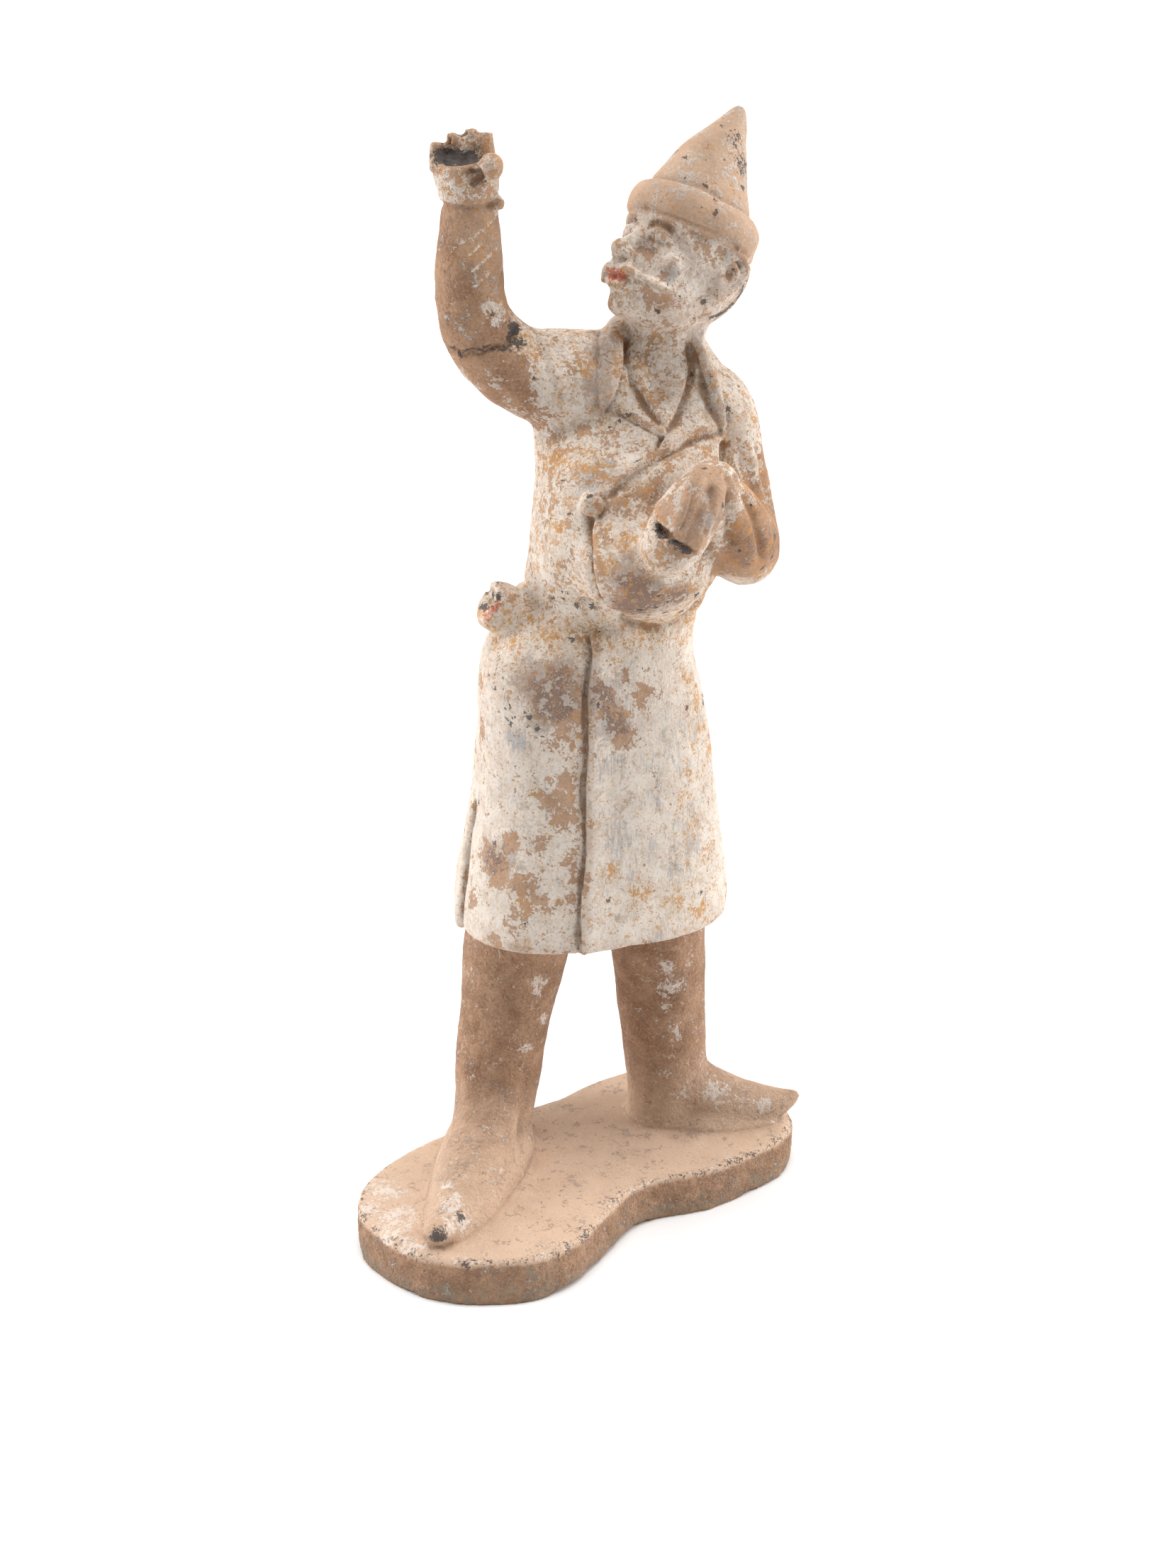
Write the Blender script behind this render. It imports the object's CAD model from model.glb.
# %% [markdown]
# # A painted pottery groom
# The real figure was pressed in moulds from buff clay, fired once, and then painted cold: a white
# slip all over the coat and face, with touches of orange, red and black. After a thousand years
# in the ground most of the paint is worn or flaked off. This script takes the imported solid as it
# is, works finer relief into a copy of it, and then builds the worn paint from procedural nodes.

import math

import bpy
import numpy as np
from mathutils import Matrix, Vector
from mathutils.bvhtree import BVHTree


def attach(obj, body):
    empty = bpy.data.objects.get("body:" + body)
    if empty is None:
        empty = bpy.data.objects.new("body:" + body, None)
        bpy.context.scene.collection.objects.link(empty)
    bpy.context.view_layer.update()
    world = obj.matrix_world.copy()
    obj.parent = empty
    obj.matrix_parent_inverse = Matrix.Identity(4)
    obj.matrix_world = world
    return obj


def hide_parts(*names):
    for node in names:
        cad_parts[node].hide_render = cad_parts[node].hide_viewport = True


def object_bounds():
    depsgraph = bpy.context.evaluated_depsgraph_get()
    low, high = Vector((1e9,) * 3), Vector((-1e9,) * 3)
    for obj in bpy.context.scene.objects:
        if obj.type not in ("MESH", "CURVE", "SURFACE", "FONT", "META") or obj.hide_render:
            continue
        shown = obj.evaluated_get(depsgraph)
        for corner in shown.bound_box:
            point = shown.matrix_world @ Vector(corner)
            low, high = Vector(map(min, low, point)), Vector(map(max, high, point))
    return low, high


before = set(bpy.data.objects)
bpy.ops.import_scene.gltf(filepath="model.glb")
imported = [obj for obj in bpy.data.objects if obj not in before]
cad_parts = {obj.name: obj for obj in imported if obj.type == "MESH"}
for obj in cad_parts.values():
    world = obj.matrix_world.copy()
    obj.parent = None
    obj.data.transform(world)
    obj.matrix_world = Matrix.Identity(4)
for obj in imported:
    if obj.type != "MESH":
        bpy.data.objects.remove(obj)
cad_box = [list(corner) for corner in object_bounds()]
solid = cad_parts["groom_figure"]
print("CAD box:", cad_box)

# %% [markdown]
# ## Places
# All places on the figure are in millimetres, with heights counted from the top of the slab and
# x and y from the upright axis that the figure was modelled round, a little off the frame's own.

# %% Places on the figure
MM = 0.001
SLAB_THICK = 17.5
AXIS = np.array((0.747, -0.411, SLAB_THICK))


def place(point):
    """A place on the figure, in millimetres, as metres in the frame."""
    return Vector((np.array(point, float) + AXIS) * MM)


def unit_vector(vector):
    return np.array(vector, float) / np.linalg.norm(vector)


HEAD_CENTRE = np.array((30, 9, 321.5))
HEAD_LOOK = unit_vector((-0.72, -0.58, 0.49))
HEAD_RIGHT = unit_vector(np.cross(HEAD_LOOK, (0, 0, 1)))
HEAD_UP = np.cross(HEAD_RIGHT, HEAD_LOOK)
CAP_CENTRE = np.array((33.5, 12, 334))


def on_head(right, look, up):
    """A place counted from the middle of the head, which is turned aside and tipped back."""
    return tuple(HEAD_CENTRE + right * HEAD_RIGHT + look * HEAD_LOOK + up * HEAD_UP)


def on_brim(right, look, up):
    """A place counted from the middle of the cap's brim, which is level with the head."""
    return tuple(CAP_CENTRE + right * HEAD_RIGHT + look * HEAD_LOOK + up * HEAD_UP)


print("Chin at", [round(c, 3) for c in place(on_head(0, 17, -21))])

# %% [markdown]
# ## Camera, floor and light
# The photograph looks down on the figure by about twenty degrees from less than a metre away,
# so the camera repeats that: the same height, distance and field of view. The floor is one plain
# pale sheet that sweeps up behind, as in a photographer's cove. A large soft light hangs above,
# and two more stand at the sides, a little behind the figure: they brighten the edges of every
# round form and leave its middle darker, as in the photograph. A pale surround fills the rest.

# %% Camera
CAMERA_HEIGHT = 0.430
CAMERA_BACK = 0.7134
CAMERA_DOWN = 20.48
LENS = 50.5

camera_spot = (AXIS[0] * MM, -CAMERA_BACK, CAMERA_HEIGHT)
bpy.ops.object.camera_add(location=camera_spot, rotation=(math.radians(90 - CAMERA_DOWN), 0, 0))
camera = bpy.context.object
camera.name = "camera"
camera.data.lens = LENS
camera.data.sensor_width = 36
camera.data.clip_start = 0.01
bpy.context.scene.camera = camera
print("Camera", round(camera.data.angle * 180 / math.pi, 1), "degrees wide on its long side")

# %% Floor
PAPER_SIZE = 3.2
PAPER_RISE = 2.2
PAPER_BEND = 0.7
PAPER_WHITE = 0.9
bpy.ops.mesh.primitive_plane_add(size=PAPER_SIZE, location=(0, -0.2, 0))
floor = bpy.context.object
floor.name = "floor"
bpy.ops.object.mode_set(mode="EDIT")
bpy.ops.mesh.select_all(action="DESELECT")
bpy.ops.object.mode_set(mode="OBJECT")
for edge in floor.data.edges:
    edge.select = all(floor.data.vertices[i].co.y > 0 for i in edge.vertices)
bpy.ops.object.mode_set(mode="EDIT")
bpy.ops.mesh.extrude_region_move(TRANSFORM_OT_translate={"value": (0, 0, PAPER_RISE)})
bpy.ops.object.mode_set(mode="OBJECT")
for edge in floor.data.edges:
    ends = [floor.data.vertices[i].co for i in edge.vertices]
    edge.select = all(end.y > 0 and end.z < 0.01 for end in ends)
bpy.ops.object.mode_set(mode="EDIT")
bpy.ops.mesh.bevel(offset=PAPER_BEND, segments=16)
bpy.ops.object.mode_set(mode="OBJECT")
bpy.ops.object.shade_smooth()
paper = bpy.data.materials.new("pale_paper")
paper.use_nodes = True
paper_shader = paper.node_tree.nodes["Principled BSDF"]
paper_shader.inputs["Base Color"].default_value = (PAPER_WHITE, PAPER_WHITE, PAPER_WHITE, 1)
paper_shader.inputs["Roughness"].default_value = 0.95
floor.data.materials.append(paper)
print("Floor", len(floor.data.polygons), "faces")


# %% Light
def soft_light(name, spot, size, watts):
    """A square softbox at a spot, aimed at the middle of the figure."""
    bpy.ops.object.light_add(type="AREA", location=spot)
    lamp = bpy.context.object
    lamp.name = name
    lamp.data.shape = "SQUARE"
    lamp.data.size = size
    lamp.data.energy = watts
    aim = Vector((0, 0, 0.18)) - Vector(spot)
    lamp.rotation_euler = aim.to_track_quat("-Z", "Y").to_euler()
    return lamp


soft_light("top softbox", (0, -0.6, 2.9), 2.0, 75)
soft_light("left softbox", (-1.6, 0.25, 0.6), 1.2, 27)
soft_light("right softbox", (1.6, 0.25, 0.6), 1.2, 28)
SURROUND = 0.155
world = bpy.data.worlds.new("pale surround")
world.use_nodes = True
world.node_tree.nodes["Background"].inputs["Color"].default_value = (1, 1, 1, 1)
world.node_tree.nodes["Background"].inputs["Strength"].default_value = SURROUND
bpy.context.scene.world = world
bpy.context.scene.view_settings.view_transform = "Standard"

# %% [markdown]
# ## Clay to work on
# The solid is faceted, to stay light for physics. Its copy is merged, rounded by subdivision and
# pressed into one even skin by a voxel remesh. Lids, lips, ear rims and other small forms that the
# potter laid on as pellets and coils are added the same way: spheres and bevelled curves, set into
# the surface just before the remesh joins everything. The head is a plain, calm type.


# %% Working with one piece
def only(piece):
    """Deselects all else, as operators act on everything that is selected."""
    bpy.ops.object.select_all(action="DESELECT")
    piece.select_set(True)
    bpy.context.view_layer.objects.active = piece


def work(piece, kind, **settings):
    """Adds a modifier with these settings and applies it."""
    modifier = piece.modifiers.new(kind.lower(), kind)
    for setting, value in settings.items():
        setattr(modifier, setting, value)
    only(piece)
    bpy.ops.object.modifier_apply(modifier=modifier.name)


figure = bpy.data.objects.new("groom_pottery", solid.data.copy())
bpy.context.scene.collection.objects.link(figure)
only(figure)
bpy.ops.object.mode_set(mode="EDIT")
bpy.ops.mesh.select_all(action="SELECT")
bpy.ops.mesh.remove_doubles(threshold=0.01 * MM)
bpy.ops.object.mode_set(mode="OBJECT")
work(figure, "SUBSURF", levels=2, render_levels=2)
print("Rounded copy:", len(figure.data.vertices), "points")

# %% Pellets and coils
laid_on = []
HEAD_AXES = Matrix([HEAD_RIGHT, HEAD_LOOK, HEAD_UP]).transposed()


def pellet(centre, radii, axes=HEAD_AXES):
    """An egg of clay, its radii along the head's right, look and up unless other axes are given."""
    size = [radius * MM for radius in radii]
    bpy.ops.mesh.primitive_uv_sphere_add(
        segments=32, ring_count=16, location=place(centre), rotation=axes.to_euler(), scale=size
    )
    laid_on.append(bpy.context.object)


def coil(rows):
    """A coil of clay along a smooth line. A row is a place and the radius there."""
    curve = bpy.data.curves.new("coil", "CURVE")
    curve.dimensions = "3D"
    curve.bevel_depth = MM
    curve.bevel_resolution = 3
    curve.use_fill_caps = True
    line = curve.splines.new("BEZIER")
    line.bezier_points.add(len(rows) - 1)
    for point, (spot, radius) in zip(line.bezier_points, rows):
        point.co = place(spot)
        point.handle_left_type = point.handle_right_type = "AUTO"
        point.radius = radius
    made = bpy.data.objects.new("coil", curve)
    bpy.context.scene.collection.objects.link(made)
    only(made)
    bpy.ops.object.convert(target="MESH")
    laid_on.append(made)


def head_coil(rows, sides=(1,)):
    """A coil with its places counted from the middle of the head, on one side or on both."""
    for side in sides:
        coil([(on_head(right * side, look, up), radius) for right, look, up, radius in rows])


BOTH = (1, -1)
BROW, NOSE_END, MOUTH = 6.5, -8.5, -13.5
for side in BOTH:
    pellet(on_head(7.4 * side, 17.1, 1.2), (3.6, 3.2, 3.0))
    pellet(on_head(3.5 * side, 22.8, NOSE_END + 1.8), (2.4, 2.7, 2.2))
pellet(on_head(0, 25.8, NOSE_END + 2.8), (3.3, 3.1, 3.2))
UPPER_LID = [(3.4, 19.6, 0.9, 0.6), (5.4, 20.5, 2.9, 0.8), (8.2, 19.9, 3.4, 0.8), (11.8, 16.8, 1.4, 0.6)]
LOWER_LID = [(4.4, 19.5, -0.9, 0.4), (7, 19.7, -1.9, 0.5), (10, 18.1, -1.1, 0.4)]
head_coil(UPPER_LID, BOTH)
head_coil(LOWER_LID, BOTH)
head_coil([(2.4, 20.6, BROW - 0.4, 1.3), (6.6, 20.4, BROW + 1.2, 1.5), (11, 17.8, BROW + 0.6, 1.3),
           (14.6, 13.6, BROW - 2.4, 0.9)], BOTH)
head_coil([(-5.6, 20.4, MOUTH - 0.5, 0.9), (-2.6, 23.7, MOUTH + 0.9, 1.4), (0, 24, MOUTH + 0.4, 1.3),
           (2.6, 23.7, MOUTH + 0.9, 1.4), (5.6, 20.4, MOUTH - 0.5, 0.9)])
head_coil([(-4.6, 20.9, MOUTH - 2.3, 0.9), (0, 23.2, MOUTH - 3.2, 1.7), (4.6, 20.9, MOUTH - 2.3, 0.9)])
MOUSTACHE = [(0.6, 24.2, NOSE_END - 2.2, 1.3), (5, 23.2, NOSE_END - 3, 1.8),
             (10, 19.6, NOSE_END - 4.2, 1.6), (15, 15.4, NOSE_END - 5, 1.2), (19, 12.6, NOSE_END - 4.4, 0.6)]
EAR_RIM = [(19, -1, 4.5, 1), (20.2, -4.5, 6.8, 1.2), (20.8, -8, 4, 1.2), (20.4, -8.2, -1, 1.1),
           (19.4, -5, -6, 1.2), (18.6, -2.4, -8, 1.4)]
EAR_FOLD = [(20, -2.8, 3.4, 0.7), (20.4, -5.4, 1.4, 0.8), (19.6, -4.6, -3, 0.7)]
EAR_NUB = [(19, -0.6, -0.4, 1.2), (18.8, -0.8, -2, 1.1)]
for rows in (MOUSTACHE, EAR_RIM, EAR_FOLD, EAR_NUB):
    head_coil(rows, BOTH)
print("Laid on the head:", len(laid_on), "pellets and coils")

# %% Knob, cuff nub and finger joints
NO_TURN = Matrix.Identity(3)
pellet((1.2, -25.2, 250.5), (3.9, 2.4, 3.9), NO_TURN)
pellet((-27.8, -10.5, 342.5), (2.2, 2.6, 2.4), NO_TURN)
pellet((-29.8, -15.2, 353.8), (4.0, 4.6, 4.2), NO_TURN)
STUBS = (((-46.2, -9.6, 352), (-46.2, -9.4, 360.6)), ((-41.6, -7.2, 352), (-41.4, -6.8, 363.4)),
         ((-36.2, -5.8, 352), (-36.2, -5.2, 364.6)), ((-31.6, -6.6, 352), (-31.2, -5.8, 363.6)))
for root, tip in STUBS:
    coil([(root, 2.9), ((np.array(root) + tip) / 2, 2.7), (tip, 2.3)])
coil([((37, -28, 262), 3.2), ((33.4, -37, 258), 3.6), ((29.6, -42, 250), 3.6), ((27, -43, 242), 3.2)])
coil([((41, -30, 260), 3), ((38.6, -38, 254), 3.4), ((35, -41.6, 247), 3.4), ((31, -42, 239.5), 3)])
print("Laid on in all:", len(laid_on))

# %% One skin
VOXEL = 0.75 * MM
only(figure)
for piece in laid_on:
    piece.select_set(True)
bpy.ops.object.join()
work(figure, "REMESH", mode="VOXEL", voxel_size=VOXEL)
work(figure, "SMOOTH", factor=0.5, iterations=4)
print("One skin of", len(figure.data.vertices), "points")

# %% [markdown]
# ## Strokes
# Folds, edges and cuts were drawn in the clay with a bamboo tool. A stroke here is the same idea:
# a line laid on the surface, and every point near it pushed in or out along its own outward
# direction. Array arithmetic moves three hundred thousand points at once, which sculpting brushes
# can't do without a window.


# %% The stroke tool
def smooth_line(places, steps=7):
    """Places joined by a smooth curve that passes through each of them."""
    rows = np.array(places, float)
    ends = np.vstack([2 * rows[0] - rows[1], rows, 2 * rows[-1] - rows[-2]])
    made = []
    for before, here, there, after in zip(ends, ends[1:], ends[2:], ends[3:]):
        for t in np.arange(steps) / steps:
            bend = t**2 * (before - 2.5 * here + 2 * there - 0.5 * after)
            turn = t**3 * (1.5 * (here - there) + 0.5 * (after - before))
            made.append(here + 0.5 * t * (there - before) + bend + turn)
    made.append(rows[-1])
    return np.array(made)


class Surface:
    """A piece's points and outward directions, in millimetres on the figure."""

    def __init__(self, piece):
        self.mesh = piece.data
        self.skin = BVHTree.FromObject(piece, bpy.context.evaluated_depsgraph_get())
        count = len(self.mesh.vertices)
        flat = np.empty(count * 3, np.float32)
        self.mesh.vertices.foreach_get("co", flat)
        self.points = flat.reshape(-1, 3).astype(float) / MM - AXIS
        self.mesh.vertex_normals.foreach_get("vector", flat)
        self.out = flat.reshape(-1, 3).astype(float)

    def done(self):
        """The moved points go back into the mesh."""
        self.mesh.vertices.foreach_set("co", ((self.points + AXIS) * MM).astype(np.float32).ravel())
        self.mesh.update()

    def from_line(self, places, reach):
        """Which points lie within reach of a line laid on the skin, how far off, on which side
        (positive to the left, seen from outside), and how far along it from 0 to 1."""
        laid = [self.skin.find_nearest(place(spot))[0] for spot in smooth_line(places)]
        line = np.array(laid) / MM - AXIS
        above = self.points > line.min(axis=0) - reach
        below = self.points < line.max(axis=0) + reach
        which = np.nonzero(np.all(above & below, axis=1))[0]
        here = self.points[which]
        off = np.full(len(which), 1e9)
        left = np.zeros(len(which))
        share = np.zeros(len(which))
        for i, (start, end) in enumerate(zip(line, line[1:])):
            step = end - start
            t = np.clip((here - start) @ step / (step @ step), 0, 1)
            away = here - start - t[:, None] * step
            far = np.linalg.norm(away, axis=1)
            closer = far < off
            off[closer] = far[closer]
            left[closer] = np.sign(np.einsum("ij,ij->i", np.cross(self.out[which], step), away))[closer]
            share[closer] = ((i + t) / (len(line) - 1))[closer]
        kept = off < reach
        return which[kept], off[kept], left[kept], share[kept]

    def push(self, which, amount):
        self.points[which] += self.out[which] * np.reshape(amount, (-1, 1))

    def groove(self, places, half_wide, deep, fade=0.06):
        """A rounded channel along a line."""
        which, off, _, share = self.from_line(places, 2.6 * half_wide)
        ends = np.clip(np.minimum(share, 1 - share) / fade, 0, 1)
        self.push(which, -deep * ends * np.exp(-((off / half_wide) ** 2)))

    def edge(self, places, high, reach, fade=0.15):
        """The clay to the left of a line stands out by high there, and sinks back within reach of it."""
        which, off, left, share = self.from_line(places, 2.4 * reach)
        ends = np.clip(np.minimum(share, 1 - share) / fade, 0, 1)
        lip = 1 / (1 + np.exp(-off * left / 0.3))
        self.push(which, high * ends * lip * np.exp(-((np.maximum(off * left, 0) / reach) ** 2)))

    def shave(self, centre, reach, facing):
        """Clay within reach of a place that stands out past it is cut off flat, as with a knife."""
        facing = unit_vector(facing)
        past = (self.points - centre) @ facing
        close = np.linalg.norm(self.points - np.array(centre), axis=1) < reach
        which = np.nonzero((past > 0) & close & (self.out @ facing > 0.1))[0]
        self.points[which] -= past[which, None] * facing * 0.9

    def dent(self, centre, radius, deep, blunt=2):
        """A round hollow, or a bump where deep is negative."""
        off = np.linalg.norm(self.points - np.array(centre), axis=1) / radius
        which = np.nonzero(off < 2)[0]
        self.push(which, -deep * np.exp(-(off[which] ** (2 * blunt))))


surface = Surface(figure)
print("Ready to carve", len(surface.points), "points")

# %% [markdown]
# ### The coat
# The neckline, the turned-back collar, the crossed front with its knob, the long front edge, the
# fold under the belly, and the vents at the sides and back. An edge is carved as a step with a
# fine cut beside it, because one sheet of cloth lies over another there.

# %% Neck and collar
NECK_RIGHT = [(10.5, 3, 299.5), (12.5, -1.5, 294.5), (14.5, -5, 286), (19.5, -5.5, 277),
              (24.5, -7, 269.5)]
NECK_LEFT = [(32.5, 1, 298.5), (33, 0.5, 287.5), (30.5, -4, 279), (25, -7, 269.5), (22.5, -13, 266)]
LAPEL = [(8.5, -6.5, 277), (13, -6.5, 274.5), (19.5, -7.5, 271), (23.5, -9.5, 268.5),
         (22, -14.5, 265.5)]
surface.edge(NECK_RIGHT, 0.5, 3)
surface.edge(NECK_LEFT[::-1], 0.5, 3)
surface.groove(NECK_RIGHT, 0.9, 1.2)
surface.groove(NECK_LEFT, 0.9, 1.2)
surface.edge(LAPEL, 0.7, 4)
surface.groove(LAPEL, 0.8, 0.9)
COLLAR_BORDERS = [
    [(3.4, 6, 301), (3, -4.5, 294.5), (3, -8, 286), (2.8, -7.5, 277)],
    [(12, 2, 299), (11.4, -6, 289), (9.5, -8, 282), (5.5, -7.5, 275.5)],
    [(38.5, 4, 298), (40.8, 1.5, 290), (44.2, 0.6, 281), (46.4, -0.4, 270)],
    [(33.4, 1, 296), (35.6, -1, 288), (38.2, -1.4, 280), (41, -1.6, 273), (44, -1.2, 267.5)],
]
for border in COLLAR_BORDERS:
    surface.groove(border, 0.9, 1.2)
print("Neckline and collar carved")

# %% Crossed front, knob and front edge
CROSSING = [(44, -0.5, 268.5), (37, -3.5, 268), (28.5, -9.5, 265), (20.5, -19, 262.5),
            (13, -23.5, 257.5), (5.5, -25, 252.5)]
BAND = [(24.5, -9.5, 268.5), (21.5, -15, 265.5), (17, -21, 261.5), (9, -24.5, 256)]
FRONT = [(1, -23.5, 246.5), (1, -25, 241.5), (1, -28.5, 235.5), (2, -30, 226.5), (4.5, -26.5, 218.5),
         (7, -22, 213)]
surface.edge(CROSSING[::-1], 0.6, 5)
surface.groove(CROSSING, 0.9, 0.9)
surface.groove(BAND, 0.8, 0.7)
surface.edge(FRONT, 0.6, 5)
surface.groove(FRONT, 0.8, 1.7)
RING_TURNS = np.linspace(0, 2 * math.pi, 13)
KNOB_RING = [(1.2 + 4.6 * math.cos(a), -23.6, 250.5 + 4.6 * math.sin(a)) for a in RING_TURNS]
surface.groove(KNOB_RING, 0.8, 0.9, 0.001)
for turn in (0.4, 1.5, 2.7):
    reach = np.array((2.6 * math.cos(turn), 0, 2.6 * math.sin(turn)))
    cut = [(1.2, -27.4, 250.5) - reach, (1.2, -27.8, 250.5), (1.2, -27.4, 250.5) + reach]
    surface.groove(cut, 0.5, 0.35)
print("Front closed at its knob")

# %% Belly and waist
UNDER_BELLY = [(-6, -17, 214), (0, -22, 212), (6.5, -22.5, 212), (15, -14, 207), (24, -9, 204.5),
               (34, -4, 207), (40, 0, 214)]
surface.groove(UNDER_BELLY, 1.6, 1.1)
surface.groove([(-20, -14, 211), (-10, -17, 209), (0, -18, 207.5), (8, -17, 205)], 1.2, 0.5)
surface.groove([(-26, -6, 221), (-14, -13, 216), (-4, -17, 213)], 1.6, 0.5)
surface.groove([(30, -12, 202), (36, -6, 204), (39, 2, 208)], 1.4, 0.5)
print("Belly overhangs the waist")

# %% Skirt
OVERLAP = [(0, -15.5, 205), (1, -17, 198), (-0.5, -19.5, 186), (-0.5, -20.5, 166), (-1.5, -21, 150),
           (-1, -22.5, 130.5), (-2.5, -24.5, 115), (-3, -27, 97), (-3, -27, 88)]
SLIT = [(-39, 0, 142), (-40, -1, 127), (-42, -3, 112), (-43, -4, 97), (-43, -4, 90)]
surface.edge(OVERLAP, 1.0, 6, 0.04)
surface.groove(OVERLAP, 0.8, 2.0, 0.03)
surface.edge(SLIT[::-1], 0.5, 5)
surface.groove(SLIT, 0.9, 1.0)
surface.groove([(44, 20, 142), (46, 20, 120), (48.5, 20, 97), (48.5, 20, 90)], 0.9, 0.9)
surface.groove([(2, 46, 196), (1, 48, 150), (0, 52, 110), (0, 53, 88)], 0.9, 1.0)
print("Skirt cut open at front, sides and back")

# %% [markdown]
# ### Arms and hands
# The raised fist has lost the ends of its fingers, and the arm was broken at the elbow. The bent
# arm's sleeve falls in long folds from the shoulder, and the hand closes over the belly.

# %% Arms
CUFF = [(-46, -7, 342.5), (-43.5, -13, 342.5), (-37, -16.5, 341.8), (-29.5, -12, 342.5),
        (-27.5, -6, 343), (-31, 0.5, 342.5), (-37, 3, 342), (-43.5, -0.5, 342), (-46, -7, 342.5)]
CRACK = [(-48, -4, 298), (-44, -9.5, 296.2), (-42.5, -11.5, 296.8), (-39.5, -13.5, 295.8),
         (-37, -14.4, 296.8), (-34, -15, 296.6), (-30, -15, 298.4), (-26.5, -13.5, 299),
         (-23, -11, 301.4), (-22, -7, 304.5)]
surface.edge(CUFF, 0.45, 2.4, 0.001)
surface.groove(CUFF, 0.8, 0.6, 0.001)
surface.groove(CRACK, 0.55, 1.1, 0.02)
surface.dent((-22.5, -11, 301), 3.6, 0.6, 3)
MARKS = ([(-42, -15.5, 329), (-35.5, -16, 332.5), (-30.5, -14, 335), (-28, -9.5, 337.5)],
         [(-38.5, -16.5, 325.5), (-33, -15.5, 329.5), (-28, -10.5, 333)],
         [(-35.5, -16.5, 322), (-31, -14.5, 325.5), (-27.5, -9.5, 329)],
         [(-36, -16, 317), (-31, -14, 321)], [(-34, -15, 309), (-29, -12, 316), (-27, -8, 322)])
for mark in MARKS:
    surface.groove(mark, 0.7, 0.4)
surface.edge([(-16, -1, 304), (-14, -7, 298), (-11, -11, 290), (-7, -12, 281)], 0.7, 5)
surface.groove([(-17, -1, 303), (-15, -8, 297), (-12, -11.5, 289), (-8, -12, 280)], 1.2, 0.5)
for fold in ([(44.5, -28, 262), (51.5, -26, 250), (55.5, -22, 239), (57, -16, 230)],
             [(44, -34, 257), (45, -32, 246), (46, -27, 236)],
             [(51, -4, 266), (56, -6, 252), (60, -6, 240), (61, -4, 230)],
             [(55, 4, 266), (60, 3, 250), (63, 2, 236)],
             [(47, -3, 272), (49, -8, 258), (47, -14, 250)]):
    surface.groove(fold, 1.3, 0.8)
surface.groove([(44.5, -1.5, 266), (44, -3, 259), (42, -7, 252)], 1.8, 1.2)
surface.groove([(30, 26, 292), (42, 27, 280), (48, 24, 262)], 2.2, 0.6)
surface.groove([(2, 22, 292), (-4, 20, 282), (-8, 18, 272)], 2.2, 0.6)
print("Arms creased and cracked")

# %% Hands
surface.dent((-35.3, -18, 351), 1.9, 1.4)
surface.groove([(-36, -17, 354), (-34.6, -17, 351), (-35.6, -16.6, 347)], 1.5, 2.2, 0.25)
for x in (-44.2, -41.4, -38.4, -35.6):
    surface.dent((x, -11.6, 358), 3.0, 1.8)
surface.groove([(-33.6, -14.5, 358), (-34.2, -16.5, 354), (-32.6, -16.5, 349.5)], 0.9, 0.9)
for gap in ((-43.8, -9, 361.5), (-38.9, -7, 364), (-33.7, -6.4, 364.6)):
    surface.dent(gap, 1.5, 2.4)
for gap in ([(-43.8, -13, 351), (-43.8, -8, 357), (-43.8, -3, 356), (-43.6, 0.4, 349)],
            [(-38.9, -6, 359), (-38.8, -1, 357), (-38.6, 2, 349)],
            [(-33.8, -6, 359), (-33.6, -1, 357), (-33.6, 2, 349)]):
    surface.groove(gap, 0.9, 1.0)
surface.groove([(22, -37, 247), (25.5, -44, 244.5), (31.5, -45.5, 241), (34, -43, 239)], 1.1, 2.0)
surface.groove([(33, -38, 260), (31.6, -43, 253.5), (28.6, -46, 246.5)], 0.9, 1.2)
surface.groove([(38.5, -36, 259), (38, -43, 252), (36.4, -45, 245)], 1.0, 1.0)
surface.dent((33.4, -46, 251), 1.5, 1.3)
surface.groove([(24, -22, 256), (19.6, -28, 250), (16.5, -33, 243)], 1.1, 0.8)
surface.groove([(43, -31, 262), (43.6, -33, 254), (41, -34, 246), (37.5, -34, 238)], 1.6, 1.6)
print("Hands cut")

# %% Face, ears, cap and purse
LIP_LINE = [(-6, 21, -15), (-3, 24.8, -14.7), (0, 25.4, -15), (3, 24.8, -14.7), (6, 21, -15)]
surface.groove([on_head(*spot) for spot in LIP_LINE], 0.6, 0.9)
EYE = [(4.2, 20.6, -0.2), (7.4, 20.8, -0.9), (11, 18, -0.1)]
BROW_LINE = [(3, 20.6, 4.6), (6.6, 20.4, 5.6), (11.4, 17.6, 4.6)]
BEARD_LINE = [(4, 23.6, -12.6), (9, 20.4, -14.4), (14.6, 16, -15.6)]
CHEEK_LINE = [(4.6, 23.5, -5), (6.8, 22, -9), (9, 20, -12.4)]
for side in BOTH:
    surface.dent(on_head(2.5 * side, 26, -9.2), 1.1, 1.0)
    surface.dent(on_head(21 * side, -3.2, -0.4), 1.8, 1.3)
    surface.groove([on_head(r * side, l, u) for r, l, u in EYE], 0.6, 0.7)
    surface.groove([on_head(r * side, l, u) for r, l, u in BEARD_LINE], 0.8, 0.7)
    surface.groove([on_head(r * side, l, u) for r, l, u in CHEEK_LINE], 1.3, 0.35)
    surface.groove([on_head(r * side, l, u) for r, l, u in BROW_LINE], 0.9, 0.9)
BRIM_TURNS = np.radians(np.arange(0, 361, 15))
brim_foot = [on_brim(21 * math.sin(a), 22 * math.cos(a), -4.8) for a in BRIM_TURNS]
brim_top = [on_brim(16.4 * math.sin(a), 17.4 * math.cos(a), 6) for a in BRIM_TURNS]
surface.groove(brim_foot, 0.8, 0.8, 0.001)
surface.groove(brim_top, 1.1, 1.0, 0.001)
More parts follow.
